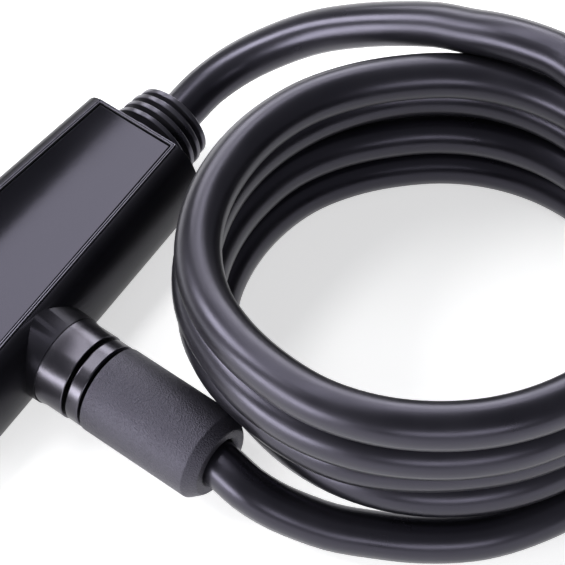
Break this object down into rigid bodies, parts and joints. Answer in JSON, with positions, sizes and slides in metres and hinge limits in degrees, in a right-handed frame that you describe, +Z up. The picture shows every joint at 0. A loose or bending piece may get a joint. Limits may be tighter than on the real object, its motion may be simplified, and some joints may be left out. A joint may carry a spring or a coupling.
{
  "type": "coiled cable lock",
  "caption": "Black coiled cable lock: T-shaped key lock head, ribbed cable grommet, wound plastic-covered steel cable, and a textured plug seated in the head's side collar.",
  "frame": {"origin": "centre of the head's flat underside, under the axis of the cable and the key barrel", "axes": "+Z up from the underside, +Y along the head towards the end where the cable is fixed, +X the way the plug pulls out"},
  "size_m": [0.1904, 0.1821, 0.061],
  "materials": {
    "satin_black": "satin moulded black",
    "gloss_black": "polished black",
    "grip_rubber": "soft matte black",
    "grommet_rubber": "moulded soft black",
    "sleeve_black": "fine even texture, black",
    "cable_black": "extruded vinyl, half gloss",
    "black_metal": "smooth satin black coat",
    "steel": "plain zinc plate",
    "cast_alloy": "as cast",
    "brass": "turned",
    "nylon": "plain moulded"
  },
  "bodies": {
    "head": {"upper_casing": "satin_black", "lower_casing": "satin_black", "face_panel": "gloss_black", "side_grip": "grip_rubber", "core_block": "cast_alloy", "socket_collar": "black_metal", "socket_bush": "nylon", "grommet": "grommet_rubber", "anchor_ferrule": "steel", "anchor_pin": "steel", "casing_screw_1": "steel", "casing_screw_2": "steel", "casing_screw_3": "steel", "casing_screw_4": "steel", "cylinder_housing": "brass", "cylinder_pin": "steel", "key_ring": "black_metal", "cover_pivot": "black_metal", "cable_lead_in": "cable_black"},
    "barrel": {"key_barrel": "brass", "drive_cam": "steel", "retaining_clip": "steel"},
    "plate": {"locking_plate": "steel"},
    "wafer_1": {"wafer_1": "brass"},
    "wafer_2": {"wafer_2": "brass"},
    "wafer_3": {"wafer_3": "brass"},
    "wafer_4": {"wafer_4": "brass"},
    "cover": {"keyhole_cover": "satin_black"},
    "plug": {"plug_shank": "steel", "plug_seal": "grommet_rubber", "plug_ring": "black_metal", "plug_sleeve": "sleeve_black", "plug_crimp": "steel", "cable_lead_out": "cable_black", "cable_coil": "cable_black"}
  },
  "joints": [
    {"name": "key_turn", "type": "hinge", "parent": "head", "child": "barrel", "pos_m": [0, -0.0425, 0.0132], "axis": [0, -1, 0], "range_deg": [0, 90]},
    {"name": "plate_slide", "type": "slide", "parent": "head", "child": "plate", "axis": [0, 0, 1], "range_m": [0, 0.00255]},
    {"name": "wafer_1_slide", "type": "slide", "parent": "barrel", "child": "wafer_1", "axis": [0, 0, 1], "range_m": [0, 0.0012]},
    {"name": "wafer_2_slide", "type": "slide", "parent": "barrel", "child": "wafer_2", "axis": [0, 0, 1], "range_m": [0, 0.0012]},
    {"name": "wafer_3_slide", "type": "slide", "parent": "barrel", "child": "wafer_3", "axis": [0, 0, 1], "range_m": [0, 0.0012]},
    {"name": "wafer_4_slide", "type": "slide", "parent": "barrel", "child": "wafer_4", "axis": [0, 0, 1], "range_m": [0, 0.0012]},
    {"name": "cover_swing", "type": "hinge", "parent": "head", "child": "cover", "pos_m": [0, -0.0565, 0.0204], "axis": [0, -1, 0], "range_deg": [0, 150]},
    {"name": "plug_pull", "type": "slide", "parent": "head", "child": "plug", "axis": [1, 0, 0], "range_m": [0, 0.042], "deforming": ["cable_lead_in"]}
  ],
  "couplings": [
    {"joint": "key_turn", "follows": "plate_slide", "rad_per_m": 615.99},
    {"joint": "wafer_2_slide", "follows": "wafer_1_slide", "ratio": 1},
    {"joint": "wafer_3_slide", "follows": "wafer_1_slide", "ratio": 1},
    {"joint": "wafer_4_slide", "follows": "wafer_1_slide", "ratio": 1}
  ]
}
